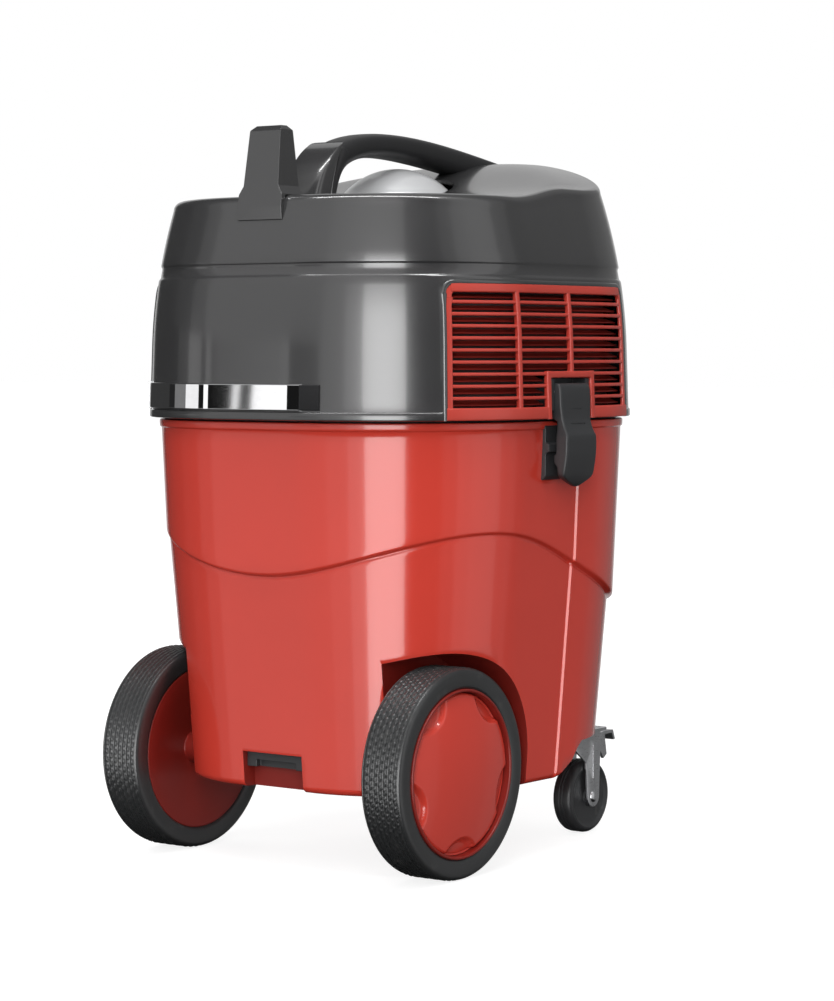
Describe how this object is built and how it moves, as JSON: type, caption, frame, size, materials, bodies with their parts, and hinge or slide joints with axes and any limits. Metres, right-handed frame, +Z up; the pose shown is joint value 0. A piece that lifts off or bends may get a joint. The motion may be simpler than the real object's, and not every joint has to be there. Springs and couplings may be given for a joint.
{
  "type": "shop vacuum",
  "caption": "Wheeled wet and dry shop vacuum with a lift-off motor head, side latches, big rear wheels, braked front casters, carry handle and cable post.",
  "frame": {"origin": "on the ground, at the middle of the machine's plan box, under the container's axis", "axes": "+Z up, -Y towards the front with the hose inlet and casters, +Y towards the big rear wheels, +X towards the machine's left"},
  "size_m": [0.456, 0.464, 0.7101],
  "materials": {
    "red_shell": "moulded high-gloss red",
    "red_wheel": "moulded dark red",
    "grille_red": "moulded satin red",
    "knob_red": "moulded red",
    "head_plastic": "moulded anthracite",
    "black_plastic": "fine-grained black",
    "grip": "soft-touch black",
    "silver_plastic": "silver-grey metallic plastic",
    "chrome_trim": "bright chrome",
    "tyre": "moulded rubber tread",
    "caster_tread": "moulded dark rubber",
    "zinc_steel": "bright zinc plate",
    "seal": "black rubber",
    "motor_metal": "pressed and cast metal",
    "copper": "wound copper",
    "filter_paper": "pleated paper",
    "pale_plastic": "plain moulded"
  },
  "bodies": {
    "container": {"container": "red_shell", "inlet_fitting": "black_plastic", "inlet_deflector": "black_plastic", "rear_axle": "zinc_steel", "axle_clips": "zinc_steel", "axle_bridge": "black_plastic", "caster_plate_left": "zinc_steel", "caster_plate_right": "zinc_steel", "latch_keeper_left": "black_plastic", "latch_keeper_right": "black_plastic"},
    "head": {"head_cover": "head_plastic", "head_base": "black_plastic", "head_gasket": "seal", "vent_grille_left": "grille_red", "vent_grille_right": "grille_red", "trim_strip": "chrome_trim", "strip_end_cap": "silver_plastic", "cable_post": "head_plastic", "handle_root": "head_plastic", "handle_grip": "grip", "top_dome": "silver_plastic", "control_panel": "silver_plastic", "socket_body": "black_plastic", "flap_pin": "zinc_steel", "cable_gland": "seal", "control_switches": "pale_plastic", "motor_hood": "black_plastic", "fan_case": "motor_metal", "motor_field": "motor_metal", "motor_mounts": "seal", "motor_bearings": "zinc_steel", "brush_holders": "copper", "filter_cage": "black_plastic", "pleated_filter": "filter_paper", "filter_clamp": "black_plastic", "cover_screws": "zinc_steel", "latch_pin_left": "zinc_steel", "latch_pin_right": "zinc_steel"},
    "selector": {"selector_knob": "knob_red"},
    "suction_control": {"suction_dial": "black_plastic"},
    "flap": {"socket_flap": "black_plastic"},
    "rotor": {"armature": "copper", "impeller": "motor_metal"},
    "float": {"float_ball": "pale_plastic"},
    "wheel_left": {"tyre_left": "tyre", "rim_left": "red_wheel", "hub_cap_left": "red_shell"},
    "swivel_left": {"caster_fork_left": "zinc_steel", "caster_rivet_left": "zinc_steel"},
    "caster_roller_left": {"caster_wheel_left": "caster_tread"},
    "pedal_left": {"brake_pedal_left": "zinc_steel"},
    "clasp_left": {"latch_left": "black_plastic"},
    "wheel_right": {"tyre_right": "tyre", "rim_right": "red_wheel", "hub_cap_right": "red_shell"},
    "swivel_right": {"caster_fork_right": "zinc_steel", "caster_rivet_right": "zinc_steel"},
    "caster_roller_right": {"caster_wheel_right": "caster_tread"},
    "pedal_right": {"brake_pedal_right": "zinc_steel"},
    "clasp_right": {"latch_right": "black_plastic"}
  },
  "joints": [
    {"name": "head_lift", "type": "slide", "parent": "container", "child": "head", "axis": [0, 0, 1], "range_m": [0, 0.2]},
    {"name": "latch_swing_left", "type": "hinge", "parent": "head", "child": "clasp_left", "pos_m": [0.21, 0, 0.456], "axis": [0, -1, 0], "range_deg": [0, 80]},
    {"name": "wheel_spin_left", "type": "hinge", "parent": "container", "child": "wheel_left", "pos_m": [0.16, 0.132, 0.1], "axis": [1, 0, 0], "continuous": true},
    {"name": "caster_swivel_left", "type": "hinge", "parent": "container", "child": "swivel_left", "pos_m": [0.115, -0.147, 0.105], "axis": [0, 0, 1], "continuous": true},
    {"name": "caster_spin_left", "type": "hinge", "parent": "swivel_left", "child": "caster_roller_left", "pos_m": [0.115, -0.1715, 0.0375], "axis": [1, 0, 0], "continuous": true},
    {"name": "brake_press_left", "type": "hinge", "parent": "swivel_left", "child": "pedal_left", "pos_m": [0.115, -0.187, 0.096], "axis": [1, 0, 0], "range_deg": [0, 18]},
    {"name": "latch_swing_right", "type": "hinge", "parent": "head", "child": "clasp_right", "pos_m": [-0.21, 0, 0.456], "axis": [0, 1, 0], "range_deg": [0, 80]},
    {"name": "wheel_spin_right", "type": "hinge", "parent": "container", "child": "wheel_right", "pos_m": [-0.16, 0.132, 0.1], "axis": [1, 0, 0], "continuous": true},
    {"name": "caster_swivel_right", "type": "hinge", "parent": "container", "child": "swivel_right", "pos_m": [-0.115, -0.147, 0.105], "axis": [0, 0, 1], "continuous": true},
    {"name": "caster_spin_right", "type": "hinge", "parent": "swivel_right", "child": "caster_roller_right", "pos_m": [-0.115, -0.1715, 0.0375], "axis": [1, 0, 0], "continuous": true},
    {"name": "brake_press_right", "type": "hinge", "parent": "swivel_right", "child": "pedal_right", "pos_m": [-0.115, -0.187, 0.096], "axis": [1, 0, 0], "range_deg": [0, 18]},
    {"name": "selector_turn", "type": "hinge", "parent": "head", "child": "selector", "pos_m": [-0.064, -0.2228, 0.552], "axis": [0, -1, 0], "range_deg": [0, 120]},
    {"name": "suction_turn", "type": "hinge", "parent": "head", "child": "suction_control", "pos_m": [0.064, -0.2228, 0.552], "axis": [0, -1, 0], "range_deg": [-135, 135]},
    {"name": "flap_open", "type": "hinge", "parent": "head", "child": "flap", "pos_m": [0, -0.22537, 0.548], "axis": [-1, 0, 0], "range_deg": [0, 100], "stiffness_Nm_per_rad": 0.02, "springref_deg": -17.19},
    {"name": "rotor_spin", "type": "hinge", "parent": "head", "child": "rotor", "pos_m": [0, 0, 0.5], "axis": [0, 0, 1], "continuous": true},
    {"name": "float_rise", "type": "slide", "parent": "head", "child": "float", "axis": [0, 0, 1], "range_m": [0, 0.1]}
  ]
}
